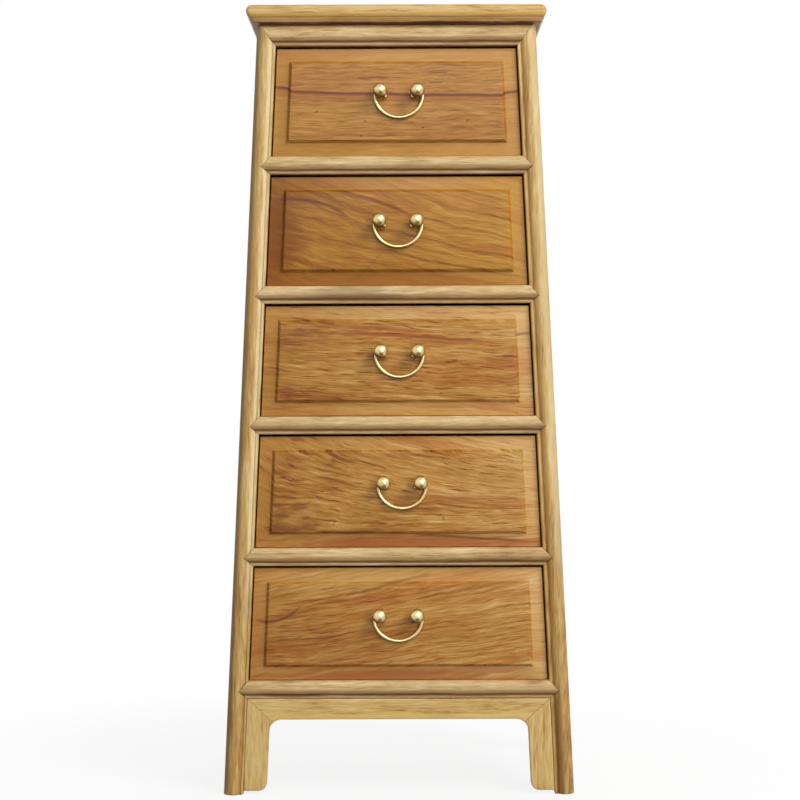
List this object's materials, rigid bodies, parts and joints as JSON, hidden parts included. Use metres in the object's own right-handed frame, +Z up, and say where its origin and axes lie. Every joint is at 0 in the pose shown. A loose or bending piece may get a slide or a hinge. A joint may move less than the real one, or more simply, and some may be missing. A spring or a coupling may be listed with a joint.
{
  "type": "chest of drawers",
  "caption": "Tapered chest of drawers with splayed round posts, beaded rails with pointed ends, bevelled drawer fronts and swinging brass bail pulls.",
  "frame": {"origin": "on the floor, at the middle of the box around the whole chest, pulls included", "axes": "+Z up, -Y towards the front with the drawers, +X to the right seen from the front"},
  "size_m": [0.533, 0.4202, 1.2],
  "materials": {
    "frame_wood": "satin",
    "panel_wood": "satin",
    "drawer_wood": "satin",
    "inner_wood": "matte",
    "brass": "polished"
  },
  "bodies": {
    "carcass": {"apron_bracket_front_left": "frame_wood", "apron_bracket_front_right": "frame_wood", "apron_front": "frame_wood", "back_panel": "panel_wood", "back_rail_bottom": "frame_wood", "back_rail_top": "frame_wood", "drawer_shelf_1": "inner_wood", "drawer_shelf_2": "inner_wood", "drawer_shelf_3": "inner_wood", "drawer_shelf_4": "inner_wood", "drawer_shelf_5": "inner_wood", "front_rail_1": "frame_wood", "front_rail_2": "frame_wood", "front_rail_3": "frame_wood", "front_rail_4": "frame_wood", "front_rail_bottom": "frame_wood", "front_rail_top": "frame_wood", "post_back_left": "frame_wood", "post_back_right": "frame_wood", "post_front_left": "frame_wood", "post_front_right": "frame_wood", "side_apron_left": "frame_wood", "side_apron_right": "frame_wood", "side_panel_left": "panel_wood", "side_panel_right": "panel_wood", "side_rail_bottom_left": "frame_wood", "side_rail_bottom_right": "frame_wood", "side_rail_top_left": "frame_wood", "side_rail_top_right": "frame_wood", "top_board": "frame_wood"},
    "drawer_1": {"drawer_1_bottom": "inner_wood", "drawer_1_box": "inner_wood", "drawer_1_front": "drawer_wood", "drawer_1_pull_post_left": "brass", "drawer_1_pull_post_right": "brass"},
    "drawer_1_bail": {"drawer_1_pull_bail": "brass"},
    "drawer_2": {"drawer_2_bottom": "inner_wood", "drawer_2_box": "inner_wood", "drawer_2_front": "drawer_wood", "drawer_2_pull_post_left": "brass", "drawer_2_pull_post_right": "brass"},
    "drawer_2_bail": {"drawer_2_pull_bail": "brass"},
    "drawer_3": {"drawer_3_bottom": "inner_wood", "drawer_3_box": "inner_wood", "drawer_3_front": "drawer_wood", "drawer_3_pull_post_left": "brass", "drawer_3_pull_post_right": "brass"},
    "drawer_3_bail": {"drawer_3_pull_bail": "brass"},
    "drawer_4": {"drawer_4_bottom": "inner_wood", "drawer_4_box": "inner_wood", "drawer_4_front": "drawer_wood", "drawer_4_pull_post_left": "brass", "drawer_4_pull_post_right": "brass"},
    "drawer_4_bail": {"drawer_4_pull_bail": "brass"},
    "drawer_5": {"drawer_5_bottom": "inner_wood", "drawer_5_box": "inner_wood", "drawer_5_front": "drawer_wood", "drawer_5_pull_post_left": "brass", "drawer_5_pull_post_right": "brass"},
    "drawer_5_bail": {"drawer_5_pull_bail": "brass"}
  },
  "joints": [
    {"name": "drawer_1_slide", "type": "slide", "parent": "carcass", "child": "drawer_1", "axis": [0, -1, 0], "range_m": [0, 0.24]},
    {"name": "drawer_1_bail_swing", "type": "hinge", "parent": "drawer_1", "child": "drawer_1_bail", "pos_m": [0.0035, -0.16472, 1.06795], "axis": [-1, 0, 0], "range_deg": [-1.5, 32]},
    {"name": "drawer_2_slide", "type": "slide", "parent": "carcass", "child": "drawer_2", "axis": [0, -1, 0], "range_m": [0, 0.24]},
    {"name": "drawer_2_bail_swing", "type": "hinge", "parent": "drawer_2", "child": "drawer_2_bail", "pos_m": [0.0015, -0.16985, 0.87085], "axis": [-1, 0, 0], "range_deg": [-1.5, 32]},
    {"name": "drawer_3_slide", "type": "slide", "parent": "carcass", "child": "drawer_3", "axis": [0, -1, 0], "range_m": [0, 0.24]},
    {"name": "drawer_3_bail_swing", "type": "hinge", "parent": "drawer_3", "child": "drawer_3_bail", "pos_m": [0.003, -0.175, 0.67255], "axis": [-1, 0, 0], "range_deg": [-1.5, 32]},
    {"name": "drawer_4_slide", "type": "slide", "parent": "carcass", "child": "drawer_4", "axis": [0, -1, 0], "range_m": [0, 0.24]},
    {"name": "drawer_4_bail_swing", "type": "hinge", "parent": "drawer_4", "child": "drawer_4_bail", "pos_m": [0.0065, -0.18019, 0.47305], "axis": [-1, 0, 0], "range_deg": [-1.5, 32]},
    {"name": "drawer_5_slide", "type": "slide", "parent": "carcass", "child": "drawer_5", "axis": [0, -1, 0], "range_m": [0, 0.24]},
    {"name": "drawer_5_bail_swing", "type": "hinge", "parent": "drawer_5", "child": "drawer_5_bail", "pos_m": [0, -0.18541, 0.27235], "axis": [-1, 0, 0], "range_deg": [-1.5, 32]}
  ]
}
